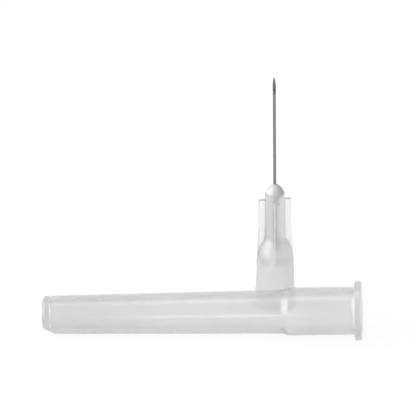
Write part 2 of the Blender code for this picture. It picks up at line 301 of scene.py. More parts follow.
@dataclass(frozen=True)
class MouldedPlastic(Finish):
    """Natural polypropylene: clear or milky, with flow clouds and the faint texture of its mould.

    Attributes:
        pale: Colour of the paler flow clouds.
        clearness: Share of light that goes through rather than being scattered back at the surface.
        milk: Scattering per metre of plastic.
        density: Absorption per metre of plastic; at 0 the plastic is all surface, without milk.
        depth_colour: Colour that the thickness leaves.
        flow: Waves of the flow clouds per metre, along each axis.
        grain: Waves of the mould texture per metre.
        relief: Strength of the mould texture.
        coat: Weight of the smooth skin that the polished mould leaves.
        painted_shade: Painted shade, a darkening of the plastic's colour by place along X.
        index: Index of refraction.
    """

    pale: Colour
    clearness: float
    milk: float
    density: float
    depth_colour: Colour
    flow: Triple
    grain: float
    relief: float
    coat: float = 0.0
    painted_shade: Greys = ((-1.0, 1.0), (1.0, 1.0))
    index: float = 1.49

    FLOW_DETAIL = 3.0
    GRAIN_DETAIL = 2.0
    RELIEF_DEPTH = 0.01 * MM
    ROUGHNESS_SPREAD = 0.08
    COAT_ROUGHNESS = 0.06
    FORWARD = 0.3

    def surface(self, graph: Graph) -> dict[str, Any]:
        """Clouded, faintly textured, and smooth on top where it has a coat."""
        clouds = graph.noise(self.flow, self.FLOW_DETAIL)
        texture = graph.noise((self.grain, self.grain, self.grain), self.GRAIN_DETAIL)
        return {
            # Base colour: flow clouds, times the painted shade by place along X.
            "Base Color": graph.times(graph.tint(clouds, self.colour, self.pale), self.shade(graph)),
            "Roughness": (clouds - NOISE_MIDDLE) * self.ROUGHNESS_SPREAD + self.roughness,
            "Transmission Weight": self.clearness,
            "IOR": self.index,
            "Coat Weight": self.coat,
            "Coat Roughness": self.COAT_ROUGHNESS,
            "Normal": graph.bump(texture, self.relief, self.RELIEF_DEPTH),
        }

    def depth(self, graph: Graph) -> dict[str, Signal]:
        """What the thickness of the plastic does to light: it dims it, and its milk scatters it."""
        if not self.density:
            return {}
        dim = {"Color": (*self.depth_colour, 1.0), "Density": self.density}
        milk = {"Color": (*WHITE, 1.0), "Density": self.milk, "Anisotropy": self.FORWARD}
        absorbed = graph.node("ShaderNodeVolumeAbsorption", {}, dim, "Volume")
        scattered = graph.node("ShaderNodeVolumeScatter", {}, milk, "Volume")
        return {"volume": graph.node("ShaderNodeAddShader", {}, {0: absorbed, 1: scattered}, "Shader")}

    def shade(self, graph: Graph) -> Signal:
        """Painted shade: a grey by place along X that darkens the plastic's colour."""
        along = graph.node("ShaderNodeSeparateXYZ", {}, {0: graph.spot((1.0, 1.0, 1.0))}, "X")
        return graph.ramp(along, self.painted_shade)


@dataclass(frozen=True)
class Steel(Finish):
    """Stainless steel with fine marks along or across the tube.

    Attributes:
        worn: Colour between the marks.
        marks: Waves of the marks per metre, along each axis.
        relief: Strength of the marks.
    """

    worn: Colour
    marks: Triple
    relief: float

    MARK_DETAIL = 4.0
    RELIEF_DEPTH = 0.004 * MM
    ROUGHNESS_SPREAD = 0.16

    def surface(self, graph: Graph) -> dict[str, Any]:
        """Metal whose colour, gloss and relief follow its marks."""
        marks = graph.noise(self.marks, self.MARK_DETAIL)
        return {
            "Base Color": graph.tint(marks, self.colour, self.worn),
            "Metallic": 1.0,
            "Roughness": (marks - NOISE_MIDDLE) * self.ROUGHNESS_SPREAD + self.roughness,
            "Normal": graph.bump(marks, self.relief, self.RELIEF_DEPTH),
        }


@dataclass(frozen=True)
class CuredEpoxy(Finish):
    """Cured adhesive: cloudy, wet-looking gloss; its roughness is the least that the clouds leave.

    Attributes:
        cloud: Colour of its cloudier parts.
    """

    cloud: Colour

    INDEX = 1.55
    SCATTER = 0.35
    SCATTER_SCALE = 0.6 * MM
    CLEARNESS = 0.1
    CLOUDS = (1500.0, 1500.0, 1500.0)
    CLOUD_DETAIL = 3.0
    RIPPLES = (900.0, 900.0, 900.0)
    RIPPLE_DETAIL = 1.0
    RIPPLE_DEPTH = 0.02 * MM
    RELIEF = 0.5
    ROUGHNESS_SPREAD = 0.05

    def surface(self, graph: Graph) -> dict[str, Any]:
        """Gloss with soft ripples over a resin that glows a little from inside."""
        clouds = graph.noise(self.CLOUDS, self.CLOUD_DETAIL)
        ripples = graph.noise(self.RIPPLES, self.RIPPLE_DETAIL)
        return {
            "Base Color": graph.tint(clouds, self.colour, self.cloud),
            "Roughness": clouds * self.ROUGHNESS_SPREAD + self.roughness,
            "Transmission Weight": self.CLEARNESS,
            "Subsurface Weight": self.SCATTER,
            "Subsurface Radius": (1.0, 1.0, 1.0),
            "Subsurface Scale": self.SCATTER_SCALE,
            "IOR": self.INDEX,
            "Normal": graph.bump(ripples, self.RELIEF, self.RIPPLE_DEPTH),
        }


def rounded(corners: list[Triple]) -> list[Point]:
    """Draws a profile with rounded corners.

    Args:
        corners: Radius, height and fillet of each corner; a fillet of 0 leaves it sharp.

    Returns:
        Points (radius, height), with an arc at each fillet.
    """
    points: list[Vector] = []
    for i, (radius, height, fillet) in enumerate(corners):
        here = Vector((radius, height))
        if not fillet:
            points.append(here)
            continue
        before = Vector(corners[i - 1][:2]) - here
        after = Vector(corners[i + 1][:2]) - here
        opening = before.angle(after)
        room = FILLET_SHARE * min(before.length, after.length)
        reach = min(fillet / math.tan(opening / 2), room)
        bend = reach * math.tan(opening / 2)
        before.normalize()
        after.normalize()
        middle = here + (before + after).normalized() * bend / math.sin(opening / 2)
        start = here + before * reach - middle
        swing = (here + after * reach - middle).angle_signed(start)
        points += [middle + Matrix.Rotation(swing * k / ARC_STEPS, 2) @ start for k in range(ARC_STEPS + 1)]
    return [(p.x, p.y) for p in points]


def bowed(start: Point, end: Point, bulge: float) -> list[Point]:
    """Draws a shallow arc that stands out to the left of its chord.

    Args:
        start: First point.
        end: Last point.
        bulge: How far the arc stands out at its middle.

    Returns:
        Points (radius, height) along the arc, with both ends.
    """
    first, last = Vector(start), Vector(end)
    chord = last - first
    radius = (chord.length_squared / 4 + bulge**2) / (2 * bulge)
    out = Vector((-chord.y, chord.x)).normalized()
    middle = (first + last) / 2 + out * (bulge - radius)
    half = math.asin(chord.length / 2 / radius)
    turns = [half * (1 - 2 * k / BOW_STEPS) for k in range(BOW_STEPS + 1)]
    points = [middle + Matrix.Rotation(turn, 2) @ (out * radius) for turn in turns]
    return [(p.x, p.y) for p in points]


def arc(centre: Vector, radius: float, start: float, end: float, steps: int) -> list[Point]:
    """Draws an arc.

    Args:
        centre: Its centre.
        radius: Its radius.
        start: Direction of its first point.
        end: Direction of its last point.
        steps: Number of stretches.

    Returns:
        Points (x, y) along the arc, without the last one.
    """
    turns = [start + (end - start) * k / steps for k in range(steps)]
    return [(centre.x + radius * math.cos(turn), centre.y + radius * math.sin(turn)) for turn in turns]


def divided(points: list[Point], longest: float) -> list[Point]:
    """Adds points along long straight runs, so that the skin has no needle-thin quads.

    Args:
        points: Profile points.
        longest: Longest stretch to leave.

    Returns:
        The profile with the added points.
    """
    made = [points[0]]
    for start, end in zip(points, points[1:]):
        parts = max(1, math.ceil(math.dist(start, end) / longest))
        made += [
            (start[0] + (end[0] - start[0]) * k / parts, start[1] + (end[1] - start[1]) * k / parts)
            for k in range(1, parts + 1)
        ]
    return made


def directions(steps: int) -> np.ndarray:
    """Directions of a round ring's points, evenly from +X round by +Y."""
    return np.linspace(0.0, 2 * math.pi, steps, endpoint=False)


def bearings(points: np.ndarray) -> np.ndarray:
    """Directions of the points of a ring that is drawn, without a jump after half a turn."""
    return np.unwrap(np.arctan2(points[:, 1], points[:, 0]))


def ring(radii: float | np.ndarray, angles: np.ndarray, height: float | np.ndarray) -> np.ndarray:
    """Places the points of one ring.

    Args:
        radii: Distance of the ring or of each point from the axis.
        angles: Direction of each point.
        height: Height of the ring or of each point.

    Returns:
        An array of points.
    """
    heights = np.broadcast_to(height, np.shape(angles))
    return np.column_stack([radii * np.cos(angles), radii * np.sin(angles), heights])


@dataclass
class Skin:
    """A closed mesh drawn as rings, each joined to the next; a ring of one point closes an end."""

    rings: list[np.ndarray]

    def mesh(self, name: str, looped: bool, place: Matrix) -> bpy.types.Mesh:
        """Joins the rings.

        Args:
            name: Name of the mesh.
            looped: Whether the last ring joins the first, as on a piece with a hole right through.
            place: Where the piece's own axes lie in the frame.

        Returns:
            The mesh, smooth apart from its real edges.
        """
        starts = np.cumsum([0] + [len(points) for points in self.rings])
        pairs = [(i, i + 1) for i in range(len(self.rings) - 1)]
        if looped:
            pairs.append((len(self.rings) - 1, 0))
        faces = []
        for low, high in pairs:
            below, above = len(self.rings[low]), len(self.rings[high])
            for i in range(max(below, above)):
                corners = (
                    starts[low] + i % below,
                    starts[low] + (i + 1) % below,
                    starts[high] + (i + 1) % above,
                    starts[high] + i % above,
                )
                faces.append([int(corner) for corner in dict.fromkeys(corners)])
        made = bpy.data.meshes.new(name)
        made.from_pydata(np.concatenate(self.rings).tolist(), [], faces)
        made.transform(place)
        made.shade_smooth()
        made.set_sharp_from_angle(angle=SHARP_ANGLE)
        return made


def refinish(mesh: bpy.types.Mesh, place: Matrix, chosen: Callable[[Vector], bool]) -> None:
    """Gives a piece's second finish to some of its faces.

    Args:
        mesh: The piece's mesh, in the frame's axes.
        place: Where the piece's own axes lie in the frame.
        chosen: Says of the middle of a face, in the piece's own axes, whether it is one of them.
    """
    away = place.inverted()
    for face in mesh.polygons:
        face.material_index = int(chosen(away @ face.center))


def show(name: str, mesh: bpy.types.Mesh, node: str, finishes: list[Finish]) -> bpy.types.Object:
    """Adds a piece in place of its solid.

    Args:
        name: Name of the piece.
        mesh: Its mesh, in the frame's axes.
        node: The solid that it stands for.
        finishes: Finishes, one for each material number that the mesh uses.

    Returns:
        The new object.
    """
    made = bpy.data.objects.new(name, mesh)
    bpy.context.scene.collection.objects.link(made)
    for finish in finishes:
        mesh.materials.append(finish.material())
    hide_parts(node)
    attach(made, BODY)
    return made


@dataclass
class Stand:
    """Where the needle stands, read from the frame.

    Attributes:
        turn: Turn of the needle about its own axis.
    """

    turn: float = math.radians(12.0)

    def place(self) -> Matrix:
        """Axes of the needle: its foot on the table, under the cannula."""
        low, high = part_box("cannula")
        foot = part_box("hub")[0].z
        middle = (low + high) / 2
        return Matrix.Translation((middle.x, middle.y, foot)) @ Matrix.Rotation(self.turn, 4, "Z")


@dataclass
class Wing:
    """One fin or lug, as a section at some height shows it.

    Attributes:
        reach: Distance of its outer face from the axis.
        half: Half its thickness.
        edge: Rounding of its outer edges.
        foot: Fillet where it meets the body.
    """

    reach: float
    half: float
    edge: float
    foot: float

    # Stretches along the outer face, its edge, the side, the fillet and the body beside it.
    ENDS = 6
    EDGES = 4
    SIDES = 6
    FEET = 4
    BODIES = 7
    # Least height above the body, and the most that a rounding takes of that height.
    LEAST = 0.01 * MM
    ROOM = 0.45

    def outline(self, body: float) -> list[Point]:
        """Half of the wing's section and of the body beside it, from its middle to 45 degrees away.

        Args:
            body: Radius of the body at this height.

        Returns:
            Points (x, y) with the wing along X, without the last one, which is the next wing's.
        """
        reach = max(self.reach, body + self.LEAST)
        room = (reach - body) * self.ROOM
        edge = min(self.edge, room)
        foot = min(self.foot, room)
        corner = Vector((math.sqrt((reach - edge) ** 2 - (self.half - edge) ** 2), self.half - edge))
        hollow = Vector((math.sqrt((body + foot) ** 2 - (self.half + foot) ** 2), self.half + foot))
        end_turn = math.atan2(corner.y, corner.x)
        foot_turn = math.atan2(hollow.y, hollow.x)
        axis = Vector((0.0, 0.0))
        side = [(corner.x + (hollow.x - corner.x) * k / self.SIDES, self.half) for k in range(self.SIDES)]
        return [
            *arc(axis, reach, 0.0, end_turn, self.ENDS),
            *arc(corner, edge, end_turn, math.pi / 2, self.EDGES),
            *side,
            *arc(hollow, foot, -math.pi / 2, foot_turn - math.pi, self.FEET),
            *arc(axis, body, foot_turn, math.pi / 4, self.BODIES),
        ]


@dataclass
class Hub:
    """The hub's moulding: mouth collar with two lugs, barrel, shoulder, and a slim core with four fins."""

    collar_height: float = 2.7 * MM
    collar_radius: float = 3.55 * MM
    collar_step: float = 0.18 * MM
    collar_fillet: float = 0.6 * MM
    barrel_length: float = 7.5 * MM
    barrel_mouth_radius: float = 3.37 * MM
    barrel_top_radius: float = 3.16 * MM
    shoulder_top: float = 12.0 * MM
    shoulder_bulge: float = 0.34 * MM
    core_foot_radius: float = 1.8 * MM
    core_nose_radius: float = 1.67 * MM
    nose: float = 20.46 * MM
    edge: float = 0.12 * MM
    fin_top: float = 19.23 * MM
    fin_top_radius: float = 2.76 * MM
    fin_flare_top: float = 13.8 * MM
    fin_flare_bulge: float = 0.05 * MM
    fin_foot_step: float = 0.04 * MM
    fin_foot_half: float = 0.5 * MM
    fin_top_half: float = 0.42 * MM
    fin_edge: float = 0.12 * MM
    fin_fillet: float = 0.18 * MM
    fin_top_fall: float = 0.03 * MM
    lug_radius: float = 3.894 * MM
    lug_half: float = 1.35 * MM
    lug_height: float = 2.5 * MM
    lug_slope: float = 0.5 * MM
    luer_radius: float = 2.135 * MM
    luer_taper: float = 0.06
    lead_in: float = 0.2 * MM
    socket_depth: float = 7.6 * MM
    funnel_radius: float = 0.8 * MM
    funnel_top: float = 9.8 * MM
    funnel_top_radius: float = 0.4 * MM
    bore_radius: float = 0.275 * MM
    well_radius: float = 0.95 * MM
    well_floor_radius: float = 0.5 * MM
    well_depth: float = 1.3 * MM
    stretch: float = 0.5 * MM

    # Share of a lug's slope that is left out at its top, where it has all but run into the collar.
    LUG_CUT = 0.3
    # Rounding of a fin's top as a share of that of its edges, and how fast an inset sharpens its edges.
    FIN_TOP_ROUNDING = 0.9
    FIN_EDGE_LOSS = 0.9
    # Plain rings have their points where wings this many times as thick as the fins would have them.
    PLAIN_SPREAD = 1.6

    PLASTIC = MouldedPlastic(
        name="clear polypropylene",
        colour=(0.985, 0.985, 0.985),
        pale=(1.0, 1.0, 1.0),
        roughness=0.30,
        coat=0.5,
        clearness=1.0,
        milk=200.0,
        density=36.0,
        depth_colour=(0.30, 0.31, 0.32),
        flow=(420.0, 420.0, 140.0),
        grain=5200.0,
        relief=0.35,
    )
    GLUED = replace(
        PLASTIC,
        name="glued faces of the hub",
        roughness=0.1,
        coat=0.0,
        clearness=0.5,
        density=0.0,
        index=1.02,
    )

    def fin(self, height: float, inset: float = 0.0) -> Wing:
        """The fins' section.

        Args:
            height: Height above the mouth.
            inset: How much smaller it is all round, for the rounded top edge.

        Returns:
            The section of one fin.
        """
        foot = (self.barrel_top_radius - self.fin_foot_step, self.barrel_length)
        top = (self.fin_top_radius, self.fin_flare_top)
        flare = bowed(top, foot, self.fin_flare_bulge)[::-1]
        reach = float(np.interp(height, [point[1] for point in flare], [point[0] for point in flare]))
        share = (height - self.barrel_length) / (self.fin_top - self.barrel_length)
        half = self.fin_foot_half + (self.fin_top_half - self.fin_foot_half) * share
        edge = self.fin_edge - inset * self.FIN_EDGE_LOSS
        return Wing(reach - inset, half - inset, edge, self.fin_fillet)

    def lug(self, height: float) -> Wing:
        """The section of one lug at a height above the mouth."""
        slope = (self.lug_radius - self.collar_radius + self.edge) / self.lug_slope
        reach = self.lug_radius - max(0.0, height - (self.lug_height - self.lug_slope)) * slope
        return Wing(reach, self.lug_half, self.edge, self.edge)

    def section(self, body: float, height: float, wings: tuple[Wing, Wing]) -> np.ndarray:
        """One ring of the outer skin.

        Args:
            body: Radius of the round body.
            height: Height of the ring.
            wings: Wings along X and along Y.

        Returns:
            The ring's points.
        """
        points: list[Point] = []
        for quarter in range(4):
            here = wings[quarter % 2].outline(body)
            there = wings[(quarter + 1) % 2].outline(body)
            middle = (body * math.cos(math.pi / 4), body * math.sin(math.pi / 4))
            half = here + [middle] + [(y, x) for x, y in reversed(there[1:])]
            turn = Matrix.Rotation(quarter * math.pi / 2, 2)
            points += [tuple(turn @ Vector(point)) for point in half]
        return np.array([(x, y, height) for x, y in points])

    def angles(self) -> np.ndarray:
        """Directions of a plain round ring's points, spread between those of the fins and of the lugs."""
        half = self.fin_foot_half * self.PLAIN_SPREAD
        spread = Wing(self.barrel_top_radius, half, self.fin_edge, self.fin_fillet)
        return bearings(self.section(self.core_foot_radius, 0.0, (spread, spread)))

    def mouth_end(self) -> list[np.ndarray]:
        """Rings from the mouth's inner edge up the outside of the collar, with its lugs, and the barrel."""
        plain = self.angles()
        drop = (self.barrel_mouth_radius - self.barrel_top_radius) / self.barrel_length
        collar_foot = (self.barrel_mouth_radius - drop * self.collar_height, self.collar_height)
        profile = rounded([
            (self.luer_radius + self.lead_in, 0.0, 0.0),
            (self.collar_radius, 0.0, self.edge),
            (self.collar_radius, self.collar_height - self.collar_step, self.edge),
            (*collar_foot, self.collar_fillet),
            (self.barrel_top_radius, self.barrel_length, 0.0),
        ])
        flat = Wing(0.0, self.lug_half, self.edge, self.edge)
        lug_end = self.lug_height - self.lug_slope * self.LUG_CUT
        rings = []
        for radius, height in divided(profile, self.stretch):
            if self.edge < height < lug_end and radius > self.collar_radius - self.edge:
                rings.append(self.section(radius, height, (flat, self.lug(height))))
            else:
                rings.append(ring(radius, plain, height))
        return rings

    def finned(self) -> list[np.ndarray]:
        """Rings up the shoulder and the core, with the fins and their rounded tops."""
        shoulder = bowed(
            (self.core_foot_radius, self.shoulder_top),
            (self.barrel_top_radius, self.barrel_length),
            self.shoulder_bulge,
        )[::-1]
        core = divided([self.core_at(self.shoulder_top), self.core_at(self.fin_top)], 2 * self.stretch)
        top_edge = self.fin_edge * self.FIN_TOP_ROUNDING
        rings = []
        for radius, height in shoulder[1:] + core[1:-1]:
            if height < self.fin_top - top_edge:
                rings.append(self.section(radius, height, (self.fin(height), self.fin(height))))
        for k in range(ARC_STEPS + 1):
            turn = math.pi / 2 * k / ARC_STEPS
            height = self.fin_top - top_edge * (1 - math.sin(turn))
            wing = self.fin(height, top_edge * (1 - math.cos(turn)))
            rings.append(self.section(self.core_at(height)[0], height, (wing, wing)))
        return rings

    def nose_end(self, angles: np.ndarray) -> list[np.ndarray]:
        """Rings of the core above its fins and of its nose, with their points in given directions."""
        profile = rounded([
            (*self.core_at(self.fin_top + self.fin_top_fall), 0.0),
            (self.core_nose_radius, self.nose, self.edge),
            (self.well_radius, self.nose, 0.0),
        ])
        return [ring(radius, angles, height) for radius, height in profile[:-1]]

    def core_at(self, height: float) -> Point:
        """Radius and height of the core's side."""
        share = (height - self.shoulder_top) / (self.nose - self.shoulder_top)
        return (self.core_foot_radius + (self.core_nose_radius - self.core_foot_radius) * share, height)

    def inside(self) -> list[np.ndarray]:
        """Rings from the glue well down through the cannula's bore, the funnel and the luer socket."""
        plain = self.angles()
        socket_top = self.luer_radius - self.luer_taper / 2 * self.socket_depth
        profile = rounded([
            (self.well_radius, self.nose, 0.0),
            (self.well_floor_radius, self.nose - self.well_depth, self.edge / 2),
            (self.bore_radius, self.nose - self.well_depth, 0.0),
            (self.bore_radius, self.funnel_top, 0.0),
            (self.funnel_top_radius, self.funnel_top, self.edge / 3),
            (self.funnel_radius, self.socket_depth, self.edge),
            (socket_top, self.socket_depth, self.edge),
            (self.luer_radius - self.luer_taper / 2 * self.lead_in, self.lead_in, self.edge),
            (self.luer_radius + self.lead_in, 0.0, 0.0),
        ])
        return [ring(radius, plain, height) for radius, height in divided(profile, 2 * self.stretch)[:-1]]

    def build(self, place: Matrix) -> bpy.types.Object:
        """Draws the moulding where the needle stands."""
        finned = self.finned()
        rings = self.mouth_end() + finned + self.nose_end(bearings(finned[-1])) + self.inside()
        mesh = Skin(rings).mesh("hub", True, place)
        refinish(mesh, place, lambda spot: spot.z > self.funnel_top and spot.xy.length < self.well_radius)
        return show("hub_moulding", mesh, "hub", [self.PLASTIC, self.GLUED])


@dataclass
class AdhesiveDrop:
    """Epoxy on the hub's nose: a drop that creeps up the cannula, with its root in the glue well.

    Its foot is a little wavy; each lobe is a count of waves round it, their start and their share.
    """

    foot: float = 20.463 * MM
    radius: float = 1.59 * MM
    height: float = 1.577 * MM
    fullness: float = 1.5
    hole: float = 0.256 * MM
    creep: float = 0.16 * MM
    root_radius: float = 0.948 * MM
    root_floor_radius: float = 0.497 * MM
    root_depth: float = 1.3 * MM
    seat: float = 0.002 * MM
    steps: int = 128
    courses: int = 40
    wander: float = 0.025
    lobes: tuple[Triple, ...] = ((1, -0.8, 0.6), (2, 0.5, 0.4))

    EPOXY = CuredEpoxy(
        name="cured epoxy",
        colour=(0.47, 0.47, 0.47),
        cloud=(0.55, 0.55, 0.55),
        roughness=0.12,
    )
    WETTED = replace(Hub.GLUED, name="root of the epoxy", clearness=0.4)

    def build(self, place: Matrix) -> bpy.types.Object:
        """Draws the drop round the cannula."""
        angles = directions(self.steps)
        waves = (np.cos(count * angles + start) * share for count, start, share in self.lobes)
        uneven = 1 - self.wander * sum(waves, 1.0) / 2
        rings = []
        for k in range(self.courses + 1):
            turn = math.pi / 2 * (1 - k / self.courses)
            radius = self.radius * math.sin(turn) ** (2 / self.fullness)
            height = self.height * math.cos(turn) ** (2 / self.fullness)
            if radius < self.hole + self.creep:
                break
            share = 1 - height / self.height
            rings.append(ring(radius * (uneven * share + 1 - share), angles, self.foot + height))
        shoulder = float(rings[-1][0, 2])
        top = self.foot + self.height
        for k in range(1, ARC_STEPS + 1):
            turn = math.pi / 2 * k / ARC_STEPS
            radius = self.hole + self.creep * (1 - math.sin(turn))
            rings.append(ring(radius, angles, top - (top - shoulder) * math.cos(turn)))
        floor = self.foot - self.root_depth
        brim = (self.root_radius, self.foot - self.seat)
        root = [(self.hole, floor), (self.root_floor_radius, floor), brim]
        rings += [ring(radius, angles, height) for radius, height in root]
        mesh = Skin(rings).mesh("adhesive", True, place)
        refinish(mesh, place, lambda spot: spot.z < self.foot or spot.xy.length < self.hole)
        return show("adhesive_drop", mesh, "adhesive_bead", [self.EPOXY, self.WETTED])


@dataclass
class Cannula:
    """Steel tube with a lumen, ground at its tip to a bevel and two lancet facets."""

    radius: float = 0.255 * MM
    lumen: float = 0.13 * MM
    foot: float = 10.1 * MM
    tip: float = 41.34 * MM
    chamfer: float = 0.04 * MM
    bevel_angle: float = math.radians(9.5)
    lancet_angle: float = math.radians(14.0)
    lancet_roll: float = math.radians(35.0)
    steps: int = 96
    courses: int = 24
    layers: int = 5

    DRAWN = Steel(
        name="drawn steel",
        colour=(0.20, 0.20, 0.205),
        worn=(0.28, 0.28, 0.285),
        roughness=0.26,
        marks=(26000.0, 26000.0, 260.0),
        relief=0.25,
    )
    # Ground facets: the grinding's crosswise marks and roughness are real; their darker colour is painted
    # shade for the dark bevel.
    GROUND_SHADED = Steel(
        name="ground steel with painted shade",
        colour=(0.12, 0.12, 0.125),
        worn=(0.17, 0.17, 0.175),
        roughness=0.3,
        marks=(1200.0, 9000.0, 16000.0),
        relief=0.35,
    )

    def cut(self, radius: float, angles: np.ndarray) -> np.ndarray:
        """Height of the ground face.

        Args:
            radius: Distance from the axis.
            angles: Directions of the points; the point of the tip is at +Y.

        Returns:
            The heights at which the stones cut.
        """
        across = radius * np.cos(angles)
        depth = self.radius - radius * np.sin(angles)
        bevel = depth / math.tan(self.bevel_angle)
        roll = math.cos(self.lancet_roll) * depth + math.sin(self.lancet_roll) * np.abs(across)
        return self.tip - np.maximum(bevel, roll / math.tan(self.lancet_angle))

    def build(self, place: Matrix) -> bpy.types.Object:
        """Draws the tube: up its outside, over the ground face and down the lumen."""
        angles = directions(self.steps) + math.pi / 2
        heel = self.tip - 2 * self.radius / math.tan(self.bevel_angle)
        heights = np.linspace(self.foot + self.chamfer, heel, self.courses)
        rings = [ring(self.radius - self.chamfer, angles, self.foot)]
        rings += [ring(self.radius, angles, height) for height in heights[:-1]]
        for layer in range(self.layers + 1):
            radius = self.radius + (self.lumen - self.radius) * layer / self.layers
            rings.append(ring(radius, angles, self.cut(radius, angles)))
        rings += [ring(self.lumen, angles, height) for height in heights[-2:0:-1]]
        rings.append(ring(self.lumen, angles, self.foot))
        mesh = Skin(rings).mesh("cannula", True, place)
        first = len(heights) * self.steps
        for face in mesh.polygons[first:first + self.layers * self.steps]:
            face.material_index = 1
        return show("cannula_tube", mesh, "cannula", [self.DRAWN, self.GROUND_SHADED])


@dataclass
class Sheath:
    """The sheath's moulding, drawn from its mouth at 0 along +Z to its closed tip; -X is its underside."""

    length: float = 53.4 * MM
    skirt_length: float = 12.2 * MM
    shoulder_length: float = 1.1 * MM
    mouth_bore: float = 3.48 * MM
    skirt_bore: float = 3.459 * MM
    neck_bore: float = 2.99 * MM
    tip_bore: float = 2.514 * MM
    skirt_wall: float = 0.55 * MM
    neck_wall: float = 0.7 * MM
    end_wall: float = 1.2 * MM
    flange_radius: float = 4.98 * MM
    flange_thickness: float = 1.15 * MM
    flange_edge: float = 0.25 * MM
    flange_fillet: float = 0.45 * MM
    tip_edge: float = 0.5 * MM
    facet_length: float = 2.1 * MM
    facet_depth: float = 1.05 * MM
    facet_roll: float = math.radians(24.0)
    facet_rounding: float = 0.08 * MM
    mouth_lead_in: float = 0.3 * MM
    shoulder_round: float = 0.6 * MM
    inner_edge: float = 0.35 * MM
    steps: int = 192
    stretch: float = 1.6 * MM
    fine_stretch: float = 0.12 * MM
    end_shares: tuple[float, ...] = (0.85, 0.6, 0.3)

    # Least cosine towards the facet, which puts the facet far off in the directions that don't meet it.
    LEAST_FALL = 1e-3

    PLASTIC = MouldedPlastic(
        name="milky polypropylene",
        colour=(0.95, 0.95, 0.95),
        pale=(0.985, 0.985, 0.985),
        roughness=0.18,
        coat=0.4,
        clearness=1.0,
        milk=420.0,
        density=28.0,
        depth_colour=(0.40, 0.40, 0.40),
        flow=(60.0, 420.0, 420.0),
        grain=3600.0,
        relief=0.3,
        # Painted shade: the colour darkens towards the closed tip and towards the skirt at the mouth.
        painted_shade=((-24.0 * MM, 0.94), (-6.0 * MM, 1.0), (14.0 * MM, 1.0), (18.0 * MM, 0.97)),
    )

    @property
    def neck(self) -> float:
        """Distance of the neck from the mouth."""
        return self.skirt_length + self.shoulder_length

    @property
    def tip_radius(self) -> float:
        """Outer radius at the tip, before its edge is rounded."""
        return self.tip_bore + self.neck_wall

    @property
    def facet_start(self) -> float:
        """Distance of the facet's start from the mouth."""
        return self.length - self.facet_length

    @property
    def facet_radius(self) -> float:
        """Outer radius where the facet starts."""
        slope = (self.neck_bore - self.tip_bore) / (self.length - self.neck)
        return self.tip_radius + slope * self.facet_length

    def outer_ring(self, radius: float, height: float) -> np.ndarray:
        """One ring of the outside, with the facet cut into its underside near the tip.

        Args:
            radius: Radius of the turned form.
            height: Distance from the mouth.

        Returns:
            The ring's points.
        """
        angles = directions(self.steps)
        past = height - self.facet_start
        if past <= -self.facet_rounding:
            return ring(radius, angles, height)
        fall = (self.facet_radius - self.tip_radius + self.facet_depth) / self.facet_length
        side = self.facet_radius + (self.tip_radius - self.facet_radius) * past / self.facet_length
        lowest = self.facet_radius - fall * past - max(0.0, side - radius)
        limit = lowest / np.maximum(-np.cos(angles - self.facet_roll), self.LEAST_FALL)
        blend = np.clip(0.5 + 0.5 * (limit - radius) / self.facet_rounding, 0.0, 1.0)
        radii = limit + (radius - limit) * blend - self.facet_rounding * blend * (1 - blend)
        return ring(radii, angles, height)

    def inside(self) -> list[np.ndarray]:
        """Rings from the end of the cavity back to the mouth."""
        end = self.length - self.end_wall
        profile = rounded([
            (0.0, end, 0.0),
            (self.tip_bore, end, self.inner_edge),
            (self.neck_bore, self.neck, self.shoulder_round),
            (self.skirt_bore, self.skirt_length, self.shoulder_round),
            (self.mouth_bore, self.mouth_lead_in, 0.0),
            (self.mouth_bore + self.mouth_lead_in, 0.0, 0.0),
        ])
        angles = directions(self.steps)
        walls = [ring(radius, angles, height) for radius, height in divided(profile, self.stretch)[1:-1]]
        return [np.array([[0.0, 0.0, end]])] + walls

    def outside(self) -> list[np.ndarray]:
        """Rings from the mouth over the flange and along the outside to the middle of the closed end."""
        body = rounded([
            (self.mouth_bore + self.mouth_lead_in, 0.0, 0.0),
            (self.flange_radius, 0.0, self.flange_edge),
            (self.flange_radius, self.flange_thickness, self.flange_edge),
            (self.mouth_bore + self.skirt_wall, self.flange_thickness, self.flange_fillet),
            (self.skirt_bore + self.skirt_wall, self.skirt_length, self.shoulder_round),
            (self.neck_bore + self.neck_wall, self.neck, self.shoulder_round),
            (self.facet_radius, self.facet_start, 0.0),
        ])
        tip = rounded([
            (self.facet_radius, self.facet_start, 0.0),
            (self.tip_radius, self.length, self.tip_edge),
            (0.0, self.length, 0.0),
        ])[:-1]
        profile = divided(body, self.stretch) + divided(tip, self.fine_stretch)[1:]
        rings = [self.outer_ring(*point) for point in profile]
        end = [rings[-1] * (share, share, 1.0) for share in self.end_shares]
        return rings + end + [np.array([[0.0, 0.0, self.length]])]

    def tilt(self) -> float:
        """Angle at which it lies on its flange's rim and the edge of its tip's facet."""
        lift = (1 - math.cos(self.facet_roll)) * self.facet_radius
        rest = self.length - self.facet_length * (1 - lift / self.facet_depth)
        run = rest - self.flange_thickness + self.flange_edge
        return math.atan((self.flange_radius - self.facet_radius) / run)

    def build(self) -> bpy.types.Object:
        """Draws the moulding and lays it down in its solid's box."""
        turned = Matrix.Rotation(-math.pi / 2 - self.tilt(), 4, "Y")
        mesh = Skin(self.inside() + self.outside()).mesh("sheath", False, turned)
        points = np.array([corner.co for corner in mesh.vertices])
        low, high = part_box("sheath")
        shift = (low + high) / 2 - Vector((points.min(0) + points.max(0)) / 2)
        shift.z = low.z - points[:, 2].min()
        mesh.transform(Matrix.Translation(shift))
        return show("sheath_moulding", mesh, "sheath", [self.PLASTIC])


